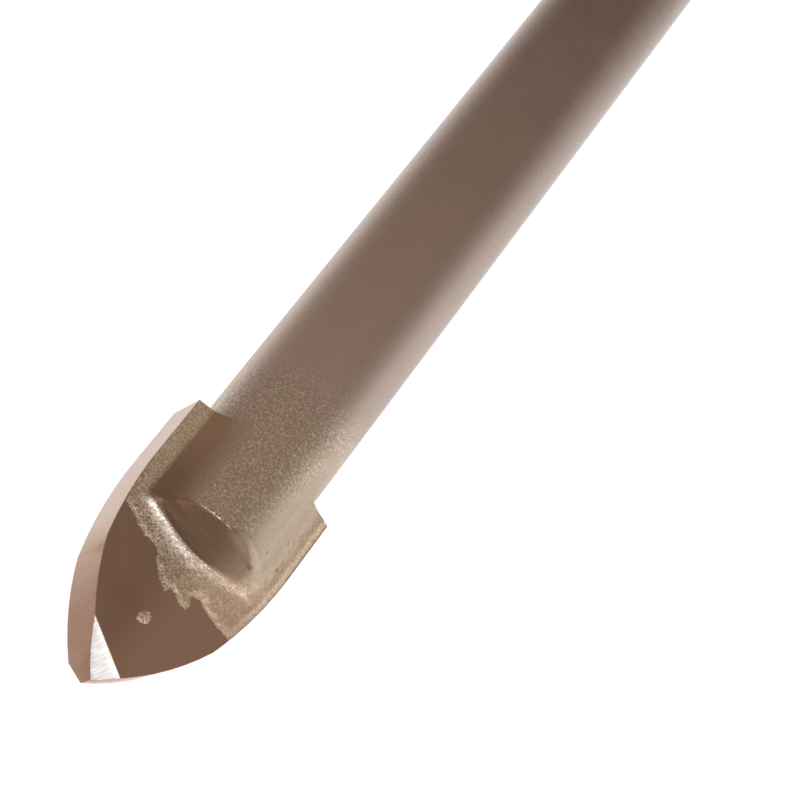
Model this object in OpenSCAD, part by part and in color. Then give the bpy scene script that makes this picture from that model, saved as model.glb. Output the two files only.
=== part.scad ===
// Spear point bit for glass and tile: a carbide plate brazed into a slotted, coned steel shank.
// The bit stands on the end of its shank with the point up: +Z runs along the axis to the point.
// X runs across the carbide plate, and its front face looks along -Y. It cuts turning right-handed.

/* [Cutting head] */
// Diameter of the hole that the head cuts
cut_d = 6; // [5.4:0.1:8]
// Thickness of the carbide plate
plate_t = 1.6; // [1.2:0.05:2]
// Length of the plate from its rear edge to the chisel edge
plate_length = 9.4; // [8.6:0.1:12]
// Angle between the two lips where they meet at the point
point_angle = 97; // [86:1:104]
// Radius of each curved lip, seen square to the plate
lip_radius = 9; // [8.4:0.1:12]
// Radius of the second grind, between each lip and its straight side
shoulder_radius = 13.5; // [10:0.5:20]
// Distance from the point to where the sides run straight
ogive_length = 7; // [6.4:0.1:8]
// Relief of each lip along the axis, in degrees
lip_relief = 5; // [2:0.5:9]
// Relief of each side, in degrees
side_relief = 2.5; // [0.5:0.5:5]
// Length of the chisel edge that the two thinning facets leave
chisel_length = 0.5; // [0.2:0.05:1]
// Tilt of each thinning facet from the face of the plate, in degrees
facet_tilt = 38; // [28:1:50]
// Turn of each thinning facet's inner edge from square to the axis, in degrees
facet_turn = 28; // [10:1:40]

/* [Shank] */
// Diameter of the round shank
shank_d = 4.5; // [3.8:0.05:5]
// Length of the bit from the end of its shank to the chisel edge
overall_length = 100; // [70:1:160]
// Chamfer round the end of the shank
end_chamfer = 0.3; // [0.1:0.05:0.8]
// Straight length of the two jaws, from the rear edge of the plate to the cone
jaw_length = 3.4; // [2:0.1:4]
// Slope of the turned cone on the jaws, from square to the axis, in degrees
cone_angle = 33; // [10:1:36]
// How much the radius of the brazed end tapers in, from the straight shank to the cone
end_taper = 0.05; // [0.02:0.01:0.15]
// Distance behind the plate's rear edge at which that taper starts
taper_start = 1.5; // [0.6:0.1:3]

/* [Braze] */
// Thickness of the braze film between the plate and the slot, and of its run on the faces
film_t = 0.06; // [0.03:0.01:0.12]
// Width of the braze fillet on the face of the plate, round each jaw
fillet_w = 0.36; // [0.1:0.02:0.5]
// Height of the braze fillet up each jaw
fillet_h = 0.5; // [0.2:0.05:0.8]
// Size of the braze fillet behind the rear edge of the plate
rear_fillet = 0.3; // [0.1:0.05:0.4]
// Width of the drop of braze on the front face
drop_w = 0.4; // [0.2:0.05:0.6]
// Distance of that drop from the point
drop_from_point = 2.5; // [2:0.1:3]

/* [Hidden] */
$fn = 96;

shank_r = shank_d / 2;
half_t = plate_t / 2;
// Half the width of the plate, so that its leading corners sweep the hole's diameter
half_w = sqrt(pow(cut_d / 2, 2) - pow(half_t, 2));
// Half the width of the slot, with a film of braze on both sides of the plate
half_slot = half_t + film_t;
rear_z = overall_length - plate_length;
cone_z = rear_z + jaw_length;
cone_slope = tan(cone_angle);
taper_z = rear_z - taper_start;
// Radius of the jaws where the cone starts
jaw_r = shank_r - end_taper;
// Larger than anything it cuts or bounds
reach = 6 * cut_d;

// Edge of the braze run on the front face, from the left side to the right side seen with the point up.
// Each entry is a share of the plate's half width, and how far the braze runs past the start of the cone.
front_run = [
    [-1, 2.1], [-0.86, 2.1], [-0.66, 2.05], [-0.51, 1.95], [-0.37, 1.8], [-0.28, 1.9], [-0.32, 2.15],
    [-0.31, 2.4], [-0.23, 2.4], [-0.15, 2.3], [-0.05, 2.2], [-0.01, 2.4], [0.11, 2.25], [0.25, 1.9],
    [0.3, 1.65], [0.4, 1.45], [0.53, 1.5], [0.67, 1.35], [0.84, 1.15], [1, 1]
];
// The same for the back face, where the braze ran out evenly
back_run = [[-1, 1.2], [-0.6, 1.6], [-0.15, 1.9], [0.3, 1.85], [0.7, 1.5], [1, 1.3]];

// Stretch of the plate's outline: straight up the side at +X, then an arc that bends in towards the point
module side_arc(centre_x, centre_z, radius) {
    translate([centre_x, centre_z]) {
        circle(radius, $fn = 180);
        translate([-reach, -reach]) square([reach + radius, reach]);
    }
}

// Everything inside a ground flank at +X: the outline swept through the plate, tipped by its relief angles
module ground_flank(axial_relief) {
    translate([0, 0, overall_length])
        rotate([axial_relief, 0, -side_relief])
            rotate([90, 0, 0])
                linear_extrude(height = reach, center = true) children();
}

// The two flanks at +X: the lip from the point down, and the second grind that runs into the straight side
module flank_pair() {
    intersection() {
        ground_flank(lip_relief)
            side_arc(-lip_radius * cos(point_angle / 2), -lip_radius * sin(point_angle / 2), lip_radius);
        ground_flank(0)
            side_arc(half_w - shoulder_radius, -ogive_length, shoulder_radius);
    }
}

// What is left inside the flanks on both sides, which match by half a turn about the axis
module inside_flanks() {
    intersection() {
        flank_pair();
        rotate([0, 0, 180]) flank_pair();
    }
}

// What a thinning facet takes off the front face beside the point
module thinning_cut() {
    translate([0, -chisel_length / 2, overall_length])
        rotate([0, facet_turn, 0])
            rotate([-facet_tilt, 0, 0])
                translate([-reach / 2, -reach, -reach / 2]) cube(reach);
}

// Spear shaped carbide plate with relieved lips, a second grind above each lip and a thinned point
module carbide_tip() {
    color("rosybrown")
        difference() {
            intersection() {
                inside_flanks();
                translate([-reach / 2, -half_t, rear_z]) cube([reach, plate_t, plate_length + 1]);
            }
            thinning_cut();
            rotate([0, 0, 180]) thinning_cut();
        }
}

// Outline of the shank turned about the axis: chamfered end, round body, slight taper and blunt cone
module shank_blank() {
    rotate_extrude()
        polygon([
            [0, 0], [shank_r - end_chamfer, 0], [shank_r, end_chamfer],
            [shank_r, taper_z], [jaw_r, cone_z], [0, cone_z + jaw_r * cone_slope]
        ]);
}

// Round steel shank, slotted across its coned end so that two jaws hold the plate
module shank() {
    color("dimgray")
        difference() {
            shank_blank();
            translate([-reach / 2, -half_slot, rear_z - film_t]) cube([reach, 2 * half_slot, reach]);
        }
}

// Half the width of a jaw where the cone starts, at a height off the plate's middle plane
function jaw_half_width(height) = sqrt(pow(jaw_r, 2) - pow(height, 2));
// Radius of the tapered end at a height along the axis
function taper_r(z) = shank_r - end_taper * (z - taper_z) / (cone_z - taper_z);
// Points of a hollow fillet from its toe on the plate to its brow on a jaw, as distances out and up
function fillet_curve(width, lean) =
    let (steps = 5, brow = 0.03)
    [for (i = [0 : steps]) let (up = i / steps)
        [pow(1 - up, 2) * width + pow(up, 2) * (brow - lean), fillet_h * pow(up, 2)]];

// Hollow fillet of braze round one jaw, up both of its sides and over its coned end
module jaw_fillet() {
    foot_x = jaw_half_width(half_slot);
    width = min(fillet_w, 0.6 * (half_w - foot_x));
    // The cone meets the plate in a curve that rises this far, close to an arc of this radius
    end_rise = (jaw_r - half_slot) * cone_slope;
    end_r = (pow(foot_x, 2) + pow(end_rise, 2)) / (2 * end_rise);
    side = fillet_curve(width, foot_x - jaw_half_width(half_slot + fillet_h));
    end = fillet_curve(width, fillet_h * cone_slope);
    last = len(side) - 1;
    difference() {
        intersection() {
            translate([0, 0, rear_z])
                linear_extrude(height = plate_length)
                    polygon(concat(
                        [for (i = [0 : last]) [foot_x + side[i].x, -half_slot - side[i].y]],
                        [for (i = [last : -1 : 0]) [-foot_x - side[i].x, -half_slot - side[i].y]]
                    ));
            translate([0, -half_slot, cone_z + end_rise - end_r])
                rotate([90, 0, 0])
                    rotate_extrude()
                        polygon(concat([[0, 0]], [for (p = end) [end_r + p.x, p.y]], [[0, fillet_h]]));
        }
        shank();
    }
}

// Film of braze over the front face of the plate, in the slot and out to the edge of its run
module face_film(run) {
    intersection() {
        inside_flanks();
        translate([0, -half_t, 0])
            rotate([90, 0, 0])
                linear_extrude(height = film_t)
                    polygon(concat(
                        [[half_w + film_t, rear_z], [-half_w - film_t, rear_z]],
                        [for (p = run) [p.x * (half_w + film_t), cone_z + p.y]]
                    ));
    }
}

// Film of braze under the rear edge of the plate, across the bottom of the slot
module bottom_film() {
    intersection() {
        shank_blank();
        translate([-shank_r, -half_slot, rear_z - film_t]) cube([shank_d, 2 * half_slot, film_t]);
    }
}

// Hollow fillet of braze between the shank and the rear edge of the plate, on both sides
module rear_fillets() {
    size = min(rear_fillet, 0.6 * (half_w - shank_r));
    toe = 0.1 * size;
    belly = 0.32 * size;
    intersection() {
        rotate_extrude()
            polygon([
                [taper_r(rear_z), rear_z], [taper_r(rear_z - size), rear_z - size],
                [shank_r + toe, rear_z - size], [shank_r + belly, rear_z - belly],
                [shank_r + size, rear_z - toe], [shank_r + size, rear_z]
            ]);
        translate([-reach / 2, -half_slot, 0]) cube([reach, 2 * half_slot, overall_length]);
    }
}

// Drop of braze on the front face
module drop() {
    radius = 0.7 * drop_w;
    translate([0, -half_t, overall_length - drop_from_point])
        intersection() {
            translate([0, sqrt(pow(radius, 2) - pow(drop_w / 2, 2)), 0]) sphere(radius);
            translate([-radius, -radius, -radius]) cube([2 * radius, radius, 2 * radius]);
        }
}

// Braze that joins the plate to the shank: the film in the slot, its run on both faces, fillets and a drop
module braze() {
    color("darkkhaki") {
        face_film(front_run);
        rotate([0, 0, 180]) face_film(back_run);
        bottom_film();
        rear_fillets();
        jaw_fillet();
        rotate([0, 0, 180]) jaw_fillet();
        drop();
    }
}

shank();
carbide_tip();
braze();
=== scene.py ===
import math

import bmesh
import bpy
import numpy as np
from mathutils import Matrix, Vector, noise


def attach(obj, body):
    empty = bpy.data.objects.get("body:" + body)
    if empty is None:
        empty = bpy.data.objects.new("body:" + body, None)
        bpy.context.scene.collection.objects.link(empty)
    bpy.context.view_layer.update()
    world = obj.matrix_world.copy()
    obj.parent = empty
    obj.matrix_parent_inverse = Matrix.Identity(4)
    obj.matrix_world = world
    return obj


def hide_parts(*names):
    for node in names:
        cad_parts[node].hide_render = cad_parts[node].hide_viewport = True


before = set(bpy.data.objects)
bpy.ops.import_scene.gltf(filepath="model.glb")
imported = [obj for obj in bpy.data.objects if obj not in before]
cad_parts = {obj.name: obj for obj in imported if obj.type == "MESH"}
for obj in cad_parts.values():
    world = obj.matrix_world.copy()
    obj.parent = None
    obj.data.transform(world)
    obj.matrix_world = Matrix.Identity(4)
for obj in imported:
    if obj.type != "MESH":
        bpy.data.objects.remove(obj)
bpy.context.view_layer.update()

# Metres in a millimetre
MM = 0.001

# Sizes in millimetres, the same as in the CAD source
LENGTH = 100.0
SHANK_R = 2.25
CHAMFER = 0.3
END_TAPER = 0.05
TAPER_START = 1.5
PLATE_T = 1.6
PLATE_LENGTH = 9.4
JAW_LENGTH = 3.4
CONE_SLOPE = math.tan(math.radians(33))
FILM = 0.06
CUT_D = 6.0
HALF_POINT_ANGLE = math.radians(97 / 2)
LIP_R = 9.0
SHOULDER_R = 13.5
OGIVE = 7.0
LIP_RELIEF = math.tan(math.radians(5))
SIDE_RELIEF = math.tan(math.radians(2.5))
DROP_FROM_POINT = 2.5

# What follows from them: half sizes, heights along the axis, and half the width of a jaw at the slot
HALF_T = PLATE_T / 2
HALF_SLOT = HALF_T + FILM
HALF_W = math.sqrt((CUT_D / 2) ** 2 - HALF_T ** 2)
REAR_Z = LENGTH - PLATE_LENGTH
TAPER_Z = REAR_Z - TAPER_START
CONE_Z = REAR_Z + JAW_LENGTH
JAW_R = SHANK_R - END_TAPER
FOOT_X = math.sqrt(JAW_R ** 2 - HALF_SLOT ** 2)

# Edge of the braze run on each face: share of the half width, and distance past the start of the cone
FRONT_RUN = [
    (-1, 2.1), (-0.86, 2.1), (-0.66, 2.05), (-0.51, 1.95), (-0.37, 1.8), (-0.28, 1.9), (-0.32, 2.15),
    (-0.31, 2.4), (-0.23, 2.4), (-0.15, 2.3), (-0.05, 2.2), (-0.01, 2.4), (0.11, 2.25), (0.25, 1.9),
    (0.3, 1.65), (0.4, 1.45), (0.53, 1.5), (0.67, 1.35), (0.84, 1.15), (1, 1),
]
BACK_RUN = [(-1, 1.2), (-0.6, 1.6), (-0.15, 1.9), (0.3, 1.85), (0.7, 1.5), (1, 1.3)]
# How far past the start of the cone the braze is looked for, and the height at which its outlines close
RUN_REACH = 2.55
OUTLINE_END = REAR_Z - 1.0

# Slope at which the braze climbs a coned end, and how softly it turns up where its foot is faint
RAMP = 1.3
RAMP_SOFT = 0.35


# Objects and meshes

def add_object(name, data):
    """Puts an object with the given data into the scene."""
    obj = bpy.data.objects.new(name, data)
    bpy.context.scene.collection.objects.link(obj)
    return obj


def mesh_from(name, bm):
    """Mesh with the form of a bmesh, which is used up."""
    mesh = bpy.data.meshes.new(name)
    bm.to_mesh(mesh)
    bm.free()
    return mesh


def add_piece(name, bm, node, materials, smooth_deg):
    """Turns a bmesh in millimetres into a piece in metres that stands for a CAD node."""
    mesh = mesh_from(name, bm)
    mesh.transform(Matrix.Scale(MM, 4))
    mesh.shade_smooth()
    mesh.set_sharp_from_angle(angle=math.radians(smooth_deg))
    for material in materials:
        mesh.materials.append(material)
    obj = add_object(name, mesh)
    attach(obj, "root")
    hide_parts(node)
    return obj


def weighted_normals(obj):
    """Keeps flat faces flat between rounded edges."""
    mod = obj.modifiers.new("even_normals", "WEIGHTED_NORMAL")
    mod.keep_sharp = True
    mod.weight = 100


def add_box(bm, size, centre):
    """Adds a box of a given size about its centre."""
    made = bmesh.ops.create_cube(bm, size=1)
    bmesh.ops.scale(bm, vec=size, verts=made["verts"])
    bmesh.ops.translate(bm, vec=centre, verts=made["verts"])


def add_sheet(bm, points, keep):
    """Adds a grid of points as a sheet, with the faces whose four corners are all kept."""
    verts = {}
    for row, column in np.ndindex(keep.shape[0] - 1, keep.shape[1] - 1):
        if keep[row:row + 2, column:column + 2].all():
            corners = [(row, column), (row, column + 1), (row + 1, column + 1), (row + 1, column)]
            for corner in corners:
                if corner not in verts:
                    verts[corner] = bm.verts.new(tuple(points[corner]))
            bm.faces.new([verts[corner] for corner in corners])


# Heights and distances over a field of points

def smooth_step(value, low, high):
    """Eases from 0 to 1 between two values."""
    t = np.clip((value - low) / (high - low), 0, 1)
    return t * t * (3 - 2 * t)


def soft_max(a, b, reach):
    """The larger of two heights, eased where they cross."""
    return 0.5 * (a + b + np.sqrt((a - b) ** 2 + reach ** 2))


def lumps(points, size, seed):
    """Smooth noise of a given grain size, about -1 to 1."""
    return np.array([
        noise.noise(Vector((p[0] / size + seed, p[1] / size - seed, seed * 1.7))) for p in points
    ])


def segment_distance(points, line):
    """Least distance from each point to a run of straight stretches."""
    best = np.full(len(points), np.inf)
    for a, b in zip(line[:-1], line[1:]):
        ab = b - a
        t = np.clip(((points - a) @ ab) / (ab @ ab), 0, 1)
        best = np.minimum(best, np.linalg.norm(points - (a + t[:, None] * ab), axis=1))
    return best


def inside(points, ring):
    """Which points lie inside a closed outline."""
    result = np.zeros(len(points), bool)
    for a, b in zip(ring, np.roll(ring, -1, axis=0)):
        # A level stretch is crossed by no point's ray
        if a[1] != b[1]:
            crosses = (a[1] > points[:, 1]) != (b[1] > points[:, 1])
            x = a[0] + (points[:, 1] - a[1]) * (b[0] - a[0]) / (b[1] - a[1])
            result ^= crosses & (points[:, 0] < x)
    return result


# Shank

def rounded(points, reaches):
    """A run of points with each inner corner eased over its own reach to both sides."""
    steps = 5
    points = [Vector(p) for p in points]
    run = [points[0]]
    for before, corner, after, reach in zip(points, points[1:], points[2:], reaches):
        start = corner + (before - corner).normalized() * reach
        end = corner + (after - corner).normalized() * reach
        for i in range(steps + 1):
            t = i / steps
            run.append((1 - t) ** 2 * start + 2 * t * (1 - t) * corner + t ** 2 * end)
    return run + [points[-1]]


def shank_profile(turn):
    """Outline of the shank at a turn about the axis. Part of each jaw's rim is crisp, the rest rounder."""
    top_r = 0.3
    top_z = CONE_Z + (JAW_R - top_r) * CONE_SLOPE
    corners = [(top_r, 0), (SHANK_R - CHAMFER, 0), (SHANK_R, CHAMFER), (SHANK_R, TAPER_Z), (JAW_R, CONE_Z)]
    chamfer_reach, taper_reach, crisp_reach, round_more = 0.07, 0.3, 0.05, 0.5
    # Place along a jaw as a share of the radius, towards +X on the front jaw and matched on the back one
    jaw_x = -math.cos(turn) * math.copysign(1, math.sin(turn))
    crisp_at, crisp_half, round_from = 0.32, 0.36, 0.7
    rim_reach = crisp_reach + round_more * smooth_step(abs(jaw_x - crisp_at), crisp_half, round_from)
    return rounded(corners + [(top_r, top_z)], (chamfer_reach, chamfer_reach, taper_reach, rim_reach))


def turned_rod():
    """Rod turned about the axis, with a chamfered end and a blunt cone."""
    sides = 192
    bm = bmesh.new()
    columns = []
    for i in range(sides):
        a = 2 * math.pi * i / sides
        columns.append([bm.verts.new((r * math.cos(a), r * math.sin(a), z)) for r, z in shank_profile(a)])
    rings = list(zip(*columns))
    for low, high in zip(rings, rings[1:]):
        for i in range(sides):
            j = (i + 1) % sides
            bm.faces.new((low[i], low[j], high[j], high[i]))
    bm.faces.new(rings[0][::-1])
    bm.faces.new(rings[-1])
    return bm


def shank_mesh():
    """The turned rod with a slot cut across its coned end."""
    slot_length, slot_depth = 8, 10
    slot = bmesh.new()
    add_box(slot, (slot_length, 2 * HALF_SLOT, slot_depth), (0, 0, REAR_Z - FILM + slot_depth / 2))
    rod = add_object("rod", mesh_from("rod", turned_rod()))
    cutter = add_object("slot_cutter", mesh_from("slot_cutter", slot))
    cut = rod.modifiers.new("slot", "BOOLEAN")
    cut.operation = "DIFFERENCE"
    cut.solver = "EXACT"
    cut.object = cutter
    bpy.context.view_layer.update()
    slotted = rod.evaluated_get(bpy.context.evaluated_depsgraph_get()).to_mesh()
    bm = bmesh.new()
    bm.from_mesh(slotted)
    for obj in (rod, cutter):
        bpy.data.objects.remove(obj)
    return bm


# Carbide tip

def soften(bm, width, angle_deg):
    """Rounds every edge that is sharper than an angle."""
    limit = math.radians(angle_deg)
    edges = [e for e in bm.edges if len(e.link_faces) == 2 and e.calc_face_angle() > limit]
    bmesh.ops.bevel(
        bm, geom=edges, offset=width, segments=2, profile=0.5, affect="EDGES", clamp_overlap=True
    )


def tip_mesh():
    """The CAD plate with its edges slightly rounded, and a material index for each kind of face."""
    edge_round, sharp_deg = 0.02, 12
    bm = bmesh.new()
    bm.from_mesh(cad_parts["carbide_tip"].data)
    bmesh.ops.scale(bm, vec=(1 / MM, 1 / MM, 1 / MM), verts=bm.verts)
    bmesh.ops.remove_doubles(bm, verts=bm.verts, dist=0.002)
    bmesh.ops.dissolve_limit(bm, angle_limit=math.radians(0.4), verts=bm.verts, edges=bm.edges)
    soften(bm, edge_round, sharp_deg)

    # Faces of the plate lie across Y, the thinning facets slope, and the ground flanks stand along it
    flat_from, facet_from, facet_area = 0.985, 0.6, 0.2
    plate_face, ground_flank, thinning_facet = 0, 1, 2
    for face in bm.faces:
        across = abs(face.normal.y)
        if across >= flat_from:
            face.material_index = plate_face
        elif across > facet_from and face.calc_area() > facet_area:
            face.material_index = thinning_facet
        else:
            face.material_index = ground_flank
    return bm


# Braze

def foot_arc(x):
    """Height and slope of the flat arc along which the fillet over a coned end turns up."""
    arc_r, arc_x, arc_z = 4.85, -0.2, CONE_Z + 0.92
    return arc_z - (x - arc_x) ** 2 / (2 * arc_r), (arc_x - x) / arc_r


def braze_foot():
    """Where the fillet round a jaw turns up: straight along the sides, a flat arc over the coned end."""
    end = [(x, foot_arc(x)[0]) for x in np.linspace(-FOOT_X, FOOT_X, 41)]
    return np.array([(-FOOT_X, OUTLINE_END)] + end + [(FOOT_X, OUTLINE_END)])


def plate_edge(z, on_lip_face):
    """Half width of the plate at a height, on the face with that side's cutting edge or on the other one."""
    y = HALF_T if on_lip_face else -HALF_T
    d = LENGTH - z
    rise = np.maximum(LIP_R * math.sin(HALF_POINT_ANGLE) - d - y * LIP_RELIEF, 0)
    lip = np.sqrt(np.maximum(LIP_R ** 2 - rise ** 2, 0)) - LIP_R * math.cos(HALF_POINT_ANGLE)
    shoulder = HALF_W - SHOULDER_R + np.sqrt(SHOULDER_R ** 2 - np.maximum(OGIVE - d, 0) ** 2)
    return np.minimum(lip, shoulder) + y * SIDE_RELIEF


def within_run(flat, run, seed):
    """How far each point lies inside the ragged edge of a braze run, and inside the edge of the plate."""
    x, z = flat.T
    plate_margin = 0.005
    line = np.array([(share * HALF_W, CONE_Z + past) for share, past in run])
    ring = np.vstack([line, [(HALF_W, OUTLINE_END), (-HALF_W, OUTLINE_END)]])
    ragged = 0.05 * lumps(flat, 0.2, seed) + 0.03 * lumps(flat, 0.07, seed + 3)
    in_run = np.where(inside(flat, ring), 1, -1) * segment_distance(flat, line) + ragged
    in_plate = np.minimum(plate_edge(z, False) - x, plate_edge(z, True) + x)
    return np.minimum(in_run, in_plate - plate_margin)


def rim_ends(x):
    """Eases from 0 on the crisp part of a coned end's rim to 1 at both of its ends."""
    crisp_at, crisp_half, end_from = 0.7, 0.75, 1.4
    return smooth_step(np.abs(x - crisp_at), crisp_half, end_from)


def side_fillet(x, z, gap, wide):
    """Rise of the hollow fillet beside a jaw, broader at -X, and how far its brow leans in over the jaw."""
    broad = smooth_step(-x, -0.5, 0.5)
    width = 0.62 + 0.38 * broad + wide
    lean = 0.35 + 0.1 * broad
    fade_end, fade_length = CONE_Z + 1.0, 0.8
    fade = smooth_step(fade_end - z, 0, fade_length)
    # The brow meets the jaw's round side, which tapers towards the cone
    side_r = JAW_R + END_TAPER * np.maximum(CONE_Z - z, 0) / (CONE_Z - TAPER_Z)
    brow = np.sqrt(side_r ** 2 - (FOOT_X - lean) ** 2) - HALF_SLOT
    return fade * brow * np.clip((width - gap) / (width + lean), 0, 1) ** 2, lean


def end_skin(x, z, gap, wide):
    """Rise of the fillet along a coned end, and of the skin from there over the cone to its rim, which is
    painted in shade.
    """
    past_rim = z - CONE_Z
    ends = rim_ends(x)

    # Ahead of its foot the fillet is a low band at +X, which grows faint and turns to a soft hollow at -X
    faint = smooth_step(-x, -0.2, 1.4)
    outside = np.maximum(gap, 0)
    band_height, band_width = 0.18 - 0.08 * faint, 0.6 + wide
    band = band_height * np.clip(1 - outside / band_width, 0, 1) ** 2
    hollow = soft_max(-RAMP * outside, 0, RAMP_SOFT) * smooth_step(1 - outside, 0, 0.5)
    ahead = (1 - faint) * band + faint * hollow

    # Behind its foot it climbs, by the distance square to the foot's arc
    arc_z, arc_slope = foot_arc(x)
    behind = np.maximum(arc_z - z, 0) / np.sqrt(1 + arc_slope ** 2)
    soft_climb = soft_max(RAMP * behind, 0, RAMP_SOFT) - RAMP_SOFT / 2
    climb = (1 - faint) * RAMP * behind + faint * soft_climb
    climbing = ahead + climb * smooth_step(-gap, -0.05, 0.1)

    # The jaw's round side holds it back: it ends just proud of the rim, and dips into the jaw behind it
    proud, dip_depth, end_drop = 0.006, 0.06, 0.3
    jaw_side = np.sqrt(np.maximum(JAW_R ** 2 - x ** 2, 0)) - HALF_SLOT
    dip = dip_depth * smooth_step(-past_rim - 0.25 * ends, -0.02, 0.3)
    lower = end_drop * ends * np.maximum(past_rim, 0)
    limit = np.maximum(jaw_side + proud - dip - lower, ahead)
    rim_soft = 0.02 + 0.13 * ends
    held = -soft_max(-climbing, -limit, rim_soft)
    return climbing + smooth_step(behind, 0, 0.2) * (held - climbing)


def shows(x, z, gap, rise, lean):
    """Which points stand clear of the jaw or lie close under its surface, and not far behind its rim."""
    past_rim = z - CONE_Z
    ends = rim_ends(x)
    cone_r = np.maximum(JAW_R - np.maximum(past_rim, 0) / CONE_SLOPE, 0)
    jaw_top = np.sqrt(np.maximum(cone_r ** 2 - x ** 2, 0))
    clear = (gap > 0) | (HALF_T + rise > jaw_top - 0.16 - 0.3 * ends)
    near = (past_rim > -0.15 - 0.4 * ends) | (gap > -lean - 0.05)
    return clear & near


def face_braze(bm, run, turn, seed, step):
    """Braze on one face of the plate: a film with a ragged edge, fillets, and a skin round the jaw that is
    painted in shade over the cone.
    """
    reach_x = HALF_W + 0.05
    xs = np.arange(-reach_x, reach_x + step, step)
    zs = np.arange(REAR_Z, CONE_Z + RUN_REACH, step)
    grid_x, grid_z = np.meshgrid(xs, zs)
    flat = np.column_stack([grid_x.ravel(), grid_z.ravel()])
    x, z = flat.T
    foot = braze_foot()
    gap = np.where(inside(flat, foot), -1, 1) * segment_distance(flat, foot)
    wide = 0.05 * lumps(flat, 0.8, seed + 5)

    # Film that thins out to its edge, with a grain that dies away where it climbs the jaw
    edge = within_run(flat, run, seed)
    edge_t, edge_width = 0.004, 0.3
    full = smooth_step(edge, 0, edge_width)
    film = edge_t + (FILM - edge_t) * full
    grain = 0.012 * lumps(flat, 0.3, seed + 7) + 0.008 * lumps(flat, 0.11, seed + 9)
    grain *= full * smooth_step(gap, -0.12, 0.05)

    # Fillets, eased into each other more softly past the rim
    beside, lean = side_fillet(x, z, gap, wide)
    over_end = end_skin(x, z, gap, wide)
    most_blend = 0.04 + 0.12 * smooth_step(z - CONE_Z, -0.1, 0.2)
    blend = np.clip(np.minimum(beside, over_end), 0, most_blend)
    rise = film + soft_max(beside, over_end, blend) + grain

    keep = (edge > 0) & shows(x, z, gap, rise, lean)
    points = np.stack([turn * x, -turn * (HALF_T + rise), z], axis=-1)
    add_sheet(bm, points.reshape(*grid_x.shape, 3), keep.reshape(grid_x.shape))


def rear_braze(bm, side):
    """Hollow fillet between the shank and the rear edge of the plate, thinning out to both faces."""
    rows, steps = 32, 12
    full_size, least_share, fullness, unevenness = 0.34, 0.02, 0.4, 0.2
    points = np.empty((rows + 1, steps + 1, 3))
    for i in range(rows + 1):
        y = -HALF_SLOT + 2 * HALF_SLOT * i / rows
        size = full_size * max(least_share, 1 - (y / HALF_SLOT) ** 2) ** fullness
        size *= 1 + unevenness * noise.noise(Vector((y * 3, side * 5.0, 2.0)))
        for j in range(steps + 1):
            a = math.pi / 2 * j / steps
            r = SHANK_R + size - size * math.sin(a)
            points[i, j] = side * math.sqrt(r * r - y * y), y, REAR_Z - size + size * math.cos(a)
    add_sheet(bm, points[::side], np.ones(points.shape[:2], bool))


def drop_braze(bm):
    """Lumpy drop of braze on the front face."""
    radius, swell, lump, flatness = 0.2, 1.18, 0.25, 0.4
    middle = Vector((0, -HALF_T, LENGTH - DROP_FROM_POINT))
    made = bmesh.ops.create_icosphere(bm, subdivisions=4, radius=radius)
    for v in made["verts"]:
        bump = swell + lump * noise.noise(v.co * 9)
        v.co = middle + bump * Vector((v.co.x, flatness * v.co.y, v.co.z))


def slot_film(bm):
    """Film of braze between the plate and the slot, on both faces and under the rear edge."""
    thin = FILM * 0.98
    side_margin, past_cone = 0.05, 0.6
    low, high = REAR_Z - FILM, CONE_Z + past_cone
    for face in (-1, 1):
        size = (2 * (FOOT_X - side_margin), thin, high - low)
        add_box(bm, size, (0, face * (HALF_T + FILM / 2), (low + high) / 2))
    add_box(bm, (2 * FOOT_X, PLATE_T, thin), (0, 0, REAR_Z - FILM / 2))


def braze_mesh():
    """All the braze: its runs on both faces, the fillets behind the plate, the drop and the slot's film."""
    bm = bmesh.new()
    face_braze(bm, FRONT_RUN, turn=1, seed=11.3, step=0.03)
    face_braze(bm, BACK_RUN, turn=-1, seed=27.9, step=0.045)
    for side in (1, -1):
        rear_braze(bm, side)
    drop_braze(bm)
    slot_film(bm)
    bmesh.ops.recalc_face_normals(bm, faces=bm.faces)
    return bm


# Materials

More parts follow.
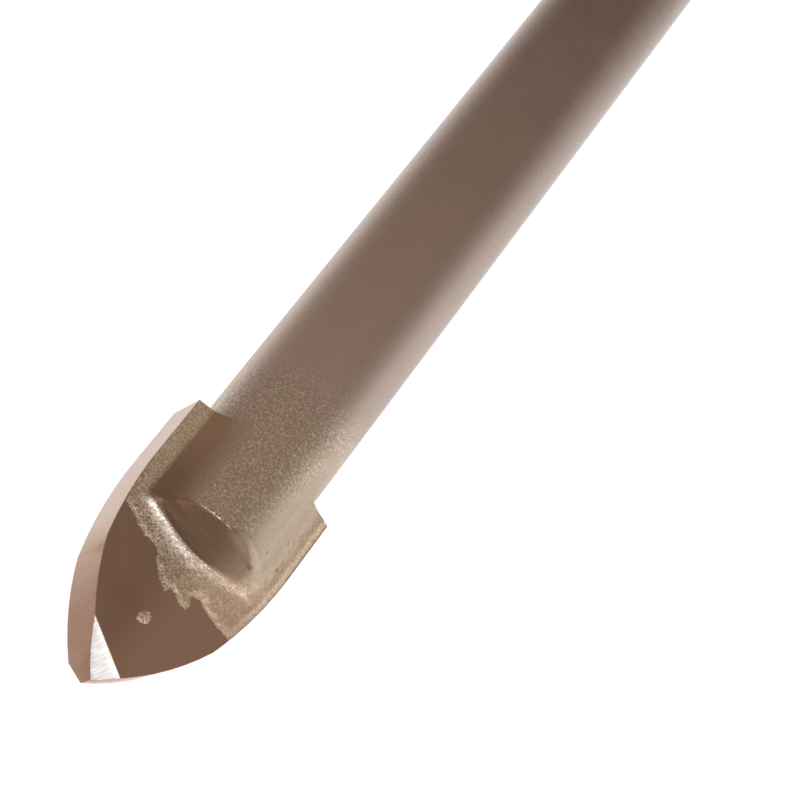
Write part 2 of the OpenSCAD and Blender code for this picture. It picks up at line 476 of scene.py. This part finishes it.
class Nodes:
    """A material in the making, with short calls that add and link its nodes. Places are in millimetres."""

    def __init__(self, name):
        self.material = bpy.data.materials.new(name)
        self.material.use_nodes = True
        self.tree = self.material.node_tree
        self.tree.nodes.clear()
        self.out = self.add("ShaderNodeOutputMaterial")
        self.place = self.add("ShaderNodeTexCoord").outputs["Object"]

    def add(self, kind, **inputs):
        """A node with some inputs set, which are named with _ for a space."""
        node = self.tree.nodes.new(kind)
        for key, value in inputs.items():
            self.put(node.inputs[key.replace("_", " ")], value)
        return node

    def put(self, socket, value):
        """Links an output to a socket, or sets the socket to a plain value."""
        if hasattr(value, "is_output"):
            self.tree.links.new(value, socket)
        else:
            socket.default_value = value

    def math(self, kind, a, b=0.0):
        """One step of arithmetic."""
        node = self.add("ShaderNodeMath")
        node.operation = kind
        self.put(node.inputs[0], a)
        self.put(node.inputs[1], b)
        return node.outputs[0]

    def product(self, first, *others):
        """Values multiplied together."""
        for other in others:
            first = self.math("MULTIPLY", first, other)
        return first

    def largest(self, first, *others):
        """The largest of some values."""
        for other in others:
            first = self.math("MAXIMUM", first, other)
        return first

    def level(self, value, low, high, to_low=0, to_high=1):
        """Maps one stretch of values to another, and stops at its ends."""
        node = self.add("ShaderNodeMapRange")
        sockets = ("Value", "From Min", "From Max", "To Min", "To Max")
        for key, setting in zip(sockets, (value, low, high, to_low, to_high)):
            self.put(node.inputs[key], setting)
        return node.outputs[0]

    def band(self, value, low, high, soft):
        """One between two values, fading out past them."""
        return self.product(self.level(value, low - soft, low), self.level(value, high, high + soft, 1, 0))

    def mix(self, share, a, b):
        """Blend of two colours."""
        node = self.add("ShaderNodeMix")
        node.data_type = "RGBA"
        self.put(node.inputs["Factor"], share)
        for socket, value in zip([s for s in node.inputs if s.type == "RGBA"], (a, b)):
            self.put(socket, (*value, 1) if isinstance(value, tuple) else value)
        return [s for s in node.outputs if s.type == "RGBA"][0]

    def scaled(self, per_mm, turn=(0, 0, 0)):
        """Place on the object with so many units to the millimetre each way, after a turn in degrees."""
        per_mm = per_mm if isinstance(per_mm, tuple) else (per_mm,) * 3
        mapping = self.add("ShaderNodeMapping")
        mapping.vector_type = "TEXTURE"
        self.put(mapping.inputs["Vector"], self.place)
        mapping.inputs["Rotation"].default_value = tuple(math.radians(t) for t in turn)
        mapping.inputs["Scale"].default_value = tuple(MM / p for p in per_mm)
        return mapping.outputs["Vector"]

    def noise(self, per_mm, detail, rough, turn=(0, 0, 0)):
        """Noise with so many grains to the millimetre, one number or one for each axis."""
        tex = self.add("ShaderNodeTexNoise", Scale=1.0, Detail=detail, Roughness=rough)
        self.put(tex.inputs["Vector"], self.scaled(per_mm, turn))
        return tex.outputs["Fac"]

    def cells(self, per_mm):
        """Crystal grains: a chance value for each grain, and the distance from its middle."""
        tex = self.add("ShaderNodeTexVoronoi", Scale=1.0)
        self.put(tex.inputs["Vector"], self.scaled(per_mm))
        split = self.add("ShaderNodeSeparateColor")
        self.put(split.inputs["Color"], tex.outputs["Color"])
        return split.outputs["Red"], tex.outputs["Distance"]

    def axes(self):
        """Place on the object along X, Y and Z."""
        split = self.add("ShaderNodeSeparateXYZ")
        self.put(split.inputs[0], self.scaled(1))
        return split.outputs["X"], split.outputs["Y"], split.outputs["Z"]

    def past_rim(self):
        """Distance past the start of the cone, towards the point."""
        return self.math("SUBTRACT", self.axes()[2], CONE_Z)

    def along_jaw(self):
        """Distance along a jaw from its middle, towards -X in front and matched by half a turn behind."""
        x, y, _ = self.axes()
        return self.product(x, self.level(y, -0.6, 0.6, -1, 1))

    def facing_point(self):
        """One where the surface leans well towards the point of the bit."""
        split = self.add("ShaderNodeSeparateXYZ")
        self.put(split.inputs[0], self.add("ShaderNodeTexCoord").outputs["Normal"])
        return self.level(split.outputs["Z"], 0.05, 0.25)

    def rim_highlight_specks(self):
        """Painted highlight specks along the crisp part of the cone's rim."""
        on_rim = self.band(self.past_rim(), -0.03, 0.01, 0.05)
        crisp = self.band(self.along_jaw(), -1, -0.1, 0.3)
        return self.product(on_rim, crisp, self.level(self.noise(14, 2, 0.5), 0.45, 0.6, 0, 0.7))

    def bump(self, height, strength, depth_mm, under=None):
        """Normal of a surface with fine relief, on top of the relief under it."""
        node = self.add("ShaderNodeBump", Strength=strength, Distance=MM * depth_mm)
        self.put(node.inputs["Height"], height)
        if under is not None:
            self.put(node.inputs["Normal"], under)
        return node.outputs["Normal"]

    def metal(self, colour, roughness, normal):
        """Finishes the material as a bare metal."""
        node = self.add("ShaderNodeBsdfPrincipled", Metallic=1.0)
        self.put(node.inputs["Base Color"], colour)
        self.put(node.inputs["Roughness"], roughness)
        self.put(node.inputs["Normal"], normal)
        self.put(self.out.inputs["Surface"], node.outputs["BSDF"])
        return self.material


# Colours that the steel and the braze share: painted shade on the coned ends and by the jaws, and painted
# highlight specks along their rims
SHADE_BROWN = (0.17, 0.102, 0.06)
RIM_HIGHLIGHT = (0.95, 0.9, 0.83)


def shank_steel():
    """Brown-grey steel with fine crossed strokes that carry painted glints, paler and stained olive by the
    head, with painted shade on the cone, at one corner and along one side of each jaw.
    """
    n = Nodes("shank_steel")
    steel, light_steel, pale_steel = (0.3, 0.232, 0.198), (0.33, 0.258, 0.22), (0.58, 0.465, 0.395)
    olive, wetted, jaw_shade_brown = (0.62, 0.51, 0.36), (0.45, 0.36, 0.28), (0.46, 0.32, 0.22)
    dark_stroke, stroke_glint = (0.3, 0.23, 0.18), (0.92, 0.84, 0.73)
    past_rim = n.past_rim()
    along = n.along_jaw()
    crossed = n.largest(*[n.noise((17, 17, 11), 2, 0.5, (0, turn, 0)) for turn in (40, -40)])

    # Where brazing has stained and wetted the steel, where painted shade darkens one side of each jaw, its
    # corner and the cone, and where its strokes show with painted glints
    wander = n.level(n.noise(0.8, 4, 0.6), 0.3, 0.7, -0.7, 0.7)
    by_head = n.level(n.math("ADD", past_rim, wander), -6.6, -4.2)
    stain = n.product(by_head, n.level(along, -1.8, -1.2, 0, 0.65))
    # One side of each jaw near the rim, and its corner, get painted shade
    brown = n.product(n.level(past_rim, -4, -2.6), n.level(along, -1.7, -1, 0.95, 0))
    on_cone = n.product(n.level(past_rim, -0.5, -0.2, 0, 0.9), n.level(along, 0.4, 1.5, 1, 0.6))
    corner_shade = n.product(n.level(past_rim, -2.2, -0.2), n.level(along, -1.8, -1.1, 0.45, 0))
    # The cone gets painted shade where its surface faces the point
    painted_shade = n.largest(n.product(on_cone, n.facing_point()), corner_shade)
    beyond = n.math("SUBTRACT", along, n.level(past_rim, -3.5, -0.2, 1.1, 0.5))
    wet = n.product(n.level(past_rim, -5.5, -3.5, 0, 0.85), n.level(beyond, 0, 0.7))
    bare = n.math("SUBTRACT", 1.0, n.largest(brown, painted_shade, wet))
    strokes_seen = n.product(n.level(past_rim, -6.9, -5.1, 0.1, 1), bare)
    pale = n.product(n.level(past_rim, -28, -6), n.level(along, -0.3, 0.9, 1, 0.6))

    colour = n.mix(n.level(n.noise(0.5, 3, 0.5), 0.35, 0.65), steel, light_steel)
    colour = n.mix(pale, colour, pale_steel)
    colour = n.mix(stain, colour, olive)
    colour = n.mix(n.product(strokes_seen, n.level(crossed, 0.46, 0.58, 0.4, 0)), colour, dark_stroke)
    # Bright strokes are painted glints on the real grinding strokes
    colour = n.mix(n.product(strokes_seen, n.level(crossed, 0.57, 0.72, 0, 0.9)), colour, stroke_glint)
    colour = n.mix(wet, colour, wetted)
    colour = n.mix(brown, colour, jaw_shade_brown)
    colour = n.mix(painted_shade, colour, SHADE_BROWN)
    colour = n.mix(n.rim_highlight_specks(), colour, RIM_HIGHLIGHT)
    rough = n.math("ADD", n.level(past_rim, -24, -5, 0.22, 0.38), n.level(crossed, 0.4, 0.7, 0.03, -0.03))
    return n.metal(colour, rough, n.bump(crossed, 0.5, 0.02))


def carbide_face():
    """Brown-grey sintered carbide with a very fine grain and a few pale specks, lighter towards one side."""
    n = Nodes("carbide_face")
    dark, brown, light = (0.33, 0.215, 0.155), (0.37, 0.243, 0.175), (0.41, 0.277, 0.2)
    light_side, pale_speck = (0.54, 0.355, 0.26), (0.85, 0.75, 0.65)
    fine = n.noise(22, 3, 0.6)
    chance, distance = n.cells(3)
    x, y, _ = n.axes()
    colour = n.mix(n.level(n.noise(0.5, 3, 0.5), 0.35, 0.65), brown, light)
    colour = n.mix(n.level(n.product(x, y), -0.5, 0.6), colour, light_side)
    colour = n.mix(n.level(fine, 0.35, 0.65, 0, 0.3), colour, dark)
    speck = n.product(n.level(distance, 0.05, 0.1, 1, 0), n.level(chance, 0.8, 0.9, 0, 0.6))
    colour = n.mix(speck, colour, pale_speck)
    return n.metal(colour, n.level(fine, 0.3, 0.7, 0.33, 0.4), n.bump(fine, 0.25, 0.006))


def carbide_ground():
    """Ground flanks with faint lines across the edge, and painted light that makes the second grind paler.
    """
    n = Nodes("carbide_ground")
    brown, light, pale = (0.45, 0.29, 0.21), (0.505, 0.335, 0.248), (0.58, 0.43, 0.35)
    lines = n.noise((14, 1, 14), 3, 0.6)
    colour = n.mix(n.level(lines, 0.35, 0.65), brown, light)
    # The second grind is painted paler, as painted light
    colour = n.mix(n.level(n.past_rim(), 1.5, 2.5, 1, 0), colour, pale)
    return n.metal(colour, n.level(lines, 0.3, 0.7, 0.26, 0.32), n.bump(lines, 0.1, 0.003))


def carbide_facet():
    """Bright thinning facets with slanting scratches of the wheel."""
    n = Nodes("carbide_facet")
    bright, scratched = (0.66, 0.66, 0.66), (0.46, 0.46, 0.46)
    scratches = n.noise((26, 2, 1.2), 3, 0.7, (0, 24, 0))
    colour = n.mix(n.level(scratches, 0.42, 0.66), bright, scratched)
    return n.metal(colour, n.level(scratches, 0.3, 0.7, 0.3, 0.4), n.bump(scratches, 0.15, 0.004))


def braze_metal():
    """Dull gold of fine crystals with painted glints, smooth with a few pits painted in shade beside the
    jaws, painted shade over the coned ends and at one corner, and a painted highlight along the foot of the
    fillet.
    """
    n = Nodes("braze_metal")
    deep_gold, gold, pale_gold = (0.37, 0.272, 0.168), (0.6, 0.445, 0.285), (0.7, 0.515, 0.355)
    crystal_glint, patch, highlight_white = (0.95, 0.85, 0.7), (0.45, 0.32, 0.2), (0.92, 0.9, 0.85)
    shaded_fillet, low_fillet, high_fillet = (0.44, 0.3, 0.2), (0.8, 0.61, 0.45), (0.52, 0.425, 0.34)
    pit_shade = (0.22, 0.15, 0.09)
    past_rim = n.past_rim()
    along = n.along_jaw()
    height = n.math("ABSOLUTE", n.axes()[1])
    fine = n.noise(20, 2, 0.6)
    coarse = n.noise(3, 3, 0.6)
    chance, _ = n.cells(22)
    grain = n.math("ADD", n.product(chance, 0.6), n.product(fine, 0.4))

    # Painted shade on the skin above the fillet, where it leans to the point, or past the rim in the flatter
    # half
    flat_half = n.level(along, 0, 0.6)
    past = n.level(past_rim, -0.3, 0.2)
    skin = n.largest(n.facing_point(), n.product(flat_half, past))
    skin = n.product(skin, n.level(along, 0, 0.6, 1, past))
    ruffled = n.math("ADD", height, n.level(fine, 0.3, 0.7, -0.03, 0.03))
    skin_from = n.level(along, 0, 1.2, 1.01, 0.95)
    skin_full = n.level(along, 0, 1.2, 1.06, 1.2)
    skin = n.product(skin, n.level(ruffled, skin_from, skin_full, 0, 0.95), n.level(past_rim, -0.5, -0.2))
    skin = n.product(skin, n.level(along, 0.5, 1.4, 1, 0.75), n.level(along, 1.5, 1.9, 1, 0.2))

    # Smooth fillets beside the jaws, with painted shade at one corner, and a painted highlight along the
    # foot of the fillet by the cone
    smooth_to = n.level(along, -1, 1, 0.3, -0.4)
    smooth_end = n.level(along, -1, 1, 0.6, 1)
    smooth = n.product(n.level(height, 0.9, 0.96, 0, 0.95), n.level(past_rim, smooth_to, smooth_end, 1, 0))
    corner_shade = n.product(n.level(past_rim, -2.5, -0.4), n.level(along, -1.9, -1.3, 0.5, 0))
    painted_shade = n.largest(skin, n.product(smooth, corner_shade))
    # The foot of the fillet gets a whitish painted highlight, broken up by the grain
    foot = n.product(n.level(height, 0.87, 0.94), n.level(past_rim, 0.2, 0.5))
    foot_highlight = n.product(foot, n.level(along, -0.6, 1.2, 0.75, 0), n.level(grain, 0.3, 0.6, 0.4, 1))
    # Dark pit floors are painted shade for small pits in the smooth fillets
    pit_chance, pit_distance = n.cells((3, 3, 1.4))
    pit = n.product(n.level(pit_distance, 0.1, 0.16, 1, 0), n.level(pit_chance, 0.5, 0.6, 0, 0.7))
    pit = n.product(pit, smooth, n.level(past_rim, -0.6, -0.2, 1, 0))

    pale = n.level(along, -0.6, 1.2)
    ground = n.mix(pale, n.mix(n.level(past_rim, -1.6, 0.8, 1, 0), deep_gold, gold), pale_gold)
    # On one side of each jaw the smooth fillet takes a painted shade brown
    fillet = n.mix(pale, shaded_fillet, n.mix(n.level(height, 0.9, 1.2), low_fillet, high_fillet))
    # Bright crystals are real grain with painted glints on them
    colour = n.mix(n.level(grain, 0.27, 0.85), ground, crystal_glint)
    colour = n.mix(n.level(coarse, 0.4, 0.7, 0, 0.15), colour, patch)
    colour = n.mix(foot_highlight, colour, highlight_white)
    colour = n.mix(smooth, colour, fillet)
    colour = n.mix(painted_shade, colour, SHADE_BROWN)
    colour = n.mix(pit, colour, pit_shade)
    colour = n.mix(n.rim_highlight_specks(), colour, RIM_HIGHLIGHT)
    relief = n.product(grain, n.level(n.largest(smooth, painted_shade), 0, 1, 1, 0.12))
    normal = n.bump(coarse, 0.25, 0.03, n.bump(relief, 0.6, 0.03))
    return n.metal(colour, n.level(grain, 0.2, 0.8, 0.5, 0.36), normal)


# The three pieces

shank = add_piece("shank_rod", shank_mesh(), "shank", [shank_steel()], 30)
weighted_normals(shank)
tip_materials = [carbide_face(), carbide_ground(), carbide_facet()]
tip = add_piece("tip_plate", tip_mesh(), "carbide_tip", tip_materials, 40)
weighted_normals(tip)
add_piece("braze_run", braze_mesh(), "braze", [braze_metal()], 80)


# Floor and world

def floor_material():
    """White sheet that turns to a pale warm grey towards its front, and looks even where it is seen."""
    n = Nodes("floor_sheet")
    warm_grey, white = (0.36, 0.3, 0.265), (1, 1, 1)
    x, y, _ = n.axes()
    behind = n.math("ADD", n.product(x, -0.55), n.product(y, 0.83))
    grain = n.level(n.noise(0.05, 2, 0.5), 0.3, 0.7, -3, 3)
    # The warm grey front is painted shade: a dimmer stretch on the camera side that the metal reflects
    colour = n.mix(n.level(n.math("ADD", behind, grain), -30, 50), warm_grey, white)
    diffuse = n.add("ShaderNodeBsdfDiffuse", Color=colour)
    plain = n.add("ShaderNodeEmission", Color=colour, Strength=1.0)
    path = n.add("ShaderNodeLightPath")
    seen = n.largest(*[path.outputs[f"Is {ray} Ray"] for ray in ("Camera", "Glossy", "Transmission")])
    both = n.add("ShaderNodeMixShader")
    n.put(both.inputs[0], n.product(seen, 0.75))
    n.put(both.inputs[1], diffuse.outputs[0])
    n.put(both.inputs[2], plain.outputs[0])
    n.put(n.out.inputs["Surface"], both.outputs[0])
    return n.material


def studio_world():
    """Warm light from all round, darker overhead than at the horizon."""
    horizon, overhead = (0.72, 0.64, 0.6, 1), (0.42, 0.37, 0.34, 1)
    world = bpy.data.worlds.new("studio")
    world.use_nodes = True
    tree = world.node_tree
    direction = tree.nodes.new("ShaderNodeSeparateXYZ")
    tree.links.new(tree.nodes.new("ShaderNodeTexCoord").outputs["Generated"], direction.inputs[0])
    sky = tree.nodes.new("ShaderNodeValToRGB")
    sky.color_ramp.elements[0].position = 0.2
    sky.color_ramp.elements[0].color = horizon
    sky.color_ramp.elements[1].color = overhead
    tree.links.new(direction.outputs["Z"], sky.inputs["Fac"])
    tree.links.new(sky.outputs["Color"], tree.nodes["Background"].inputs["Color"])
    return world


floor_bm = bmesh.new()
bmesh.ops.create_grid(floor_bm, x_segments=1, y_segments=1, size=3.0)
floor = add_object("floor", mesh_from("floor", floor_bm))
floor.data.materials.append(floor_material())
bpy.context.scene.world = studio_world()


# Lamps, with places and sizes in metres

def lamp(name, place, target, size, power):
    """Rectangular lamp that faces a target."""
    data = bpy.data.lights.new(name, "AREA")
    data.shape = "RECTANGLE"
    data.size, data.size_y = size
    data.energy = power
    obj = add_object(name, data)
    obj.location = place
    obj.rotation_euler = (Vector(target) - Vector(place)).to_track_quat("-Z", "Y").to_euler()
    obj.visible_camera = False


HEAD = (0, 0, 0.092)
lamp("key", (0.024, -0.215, 0.3), HEAD, (0.3, 0.13), 0.28)
lamp("side", (-0.6, 0.3, 0.5), (-0.2, 0.08, 0), (0.9, 0.9), 3.5)
lamp("back", (-0.1, 0.9, 1.3), (0, 0.2, 0), (1.0, 1.0), 14.0)


# Camera at the photograph's viewing angle: its place in metres, and the picture's right, down and ahead

CAMERA_PLACE = Vector((0.01441, -0.06464, 0.13207))
CAMERA_RIGHT = Vector((-0.6873, -0.53898, -0.48696))
CAMERA_DOWN = Vector((-0.69631, 0.29798, 0.65297))
CAMERA_AHEAD = Vector((-0.20684, 0.78785, -0.58009))
camera_data = bpy.data.cameras.new("camera")
camera_data.sensor_width = 36
camera_data.lens = 110.25
camera_data.clip_start = 0.001
camera = add_object("camera", camera_data)
camera_turn = Matrix((CAMERA_RIGHT, -CAMERA_DOWN, -CAMERA_AHEAD)).transposed()
camera.matrix_world = Matrix.Translation(CAMERA_PLACE) @ camera_turn.to_4x4()
bpy.context.scene.camera = camera

bpy.context.scene.view_settings.view_transform = "Standard"
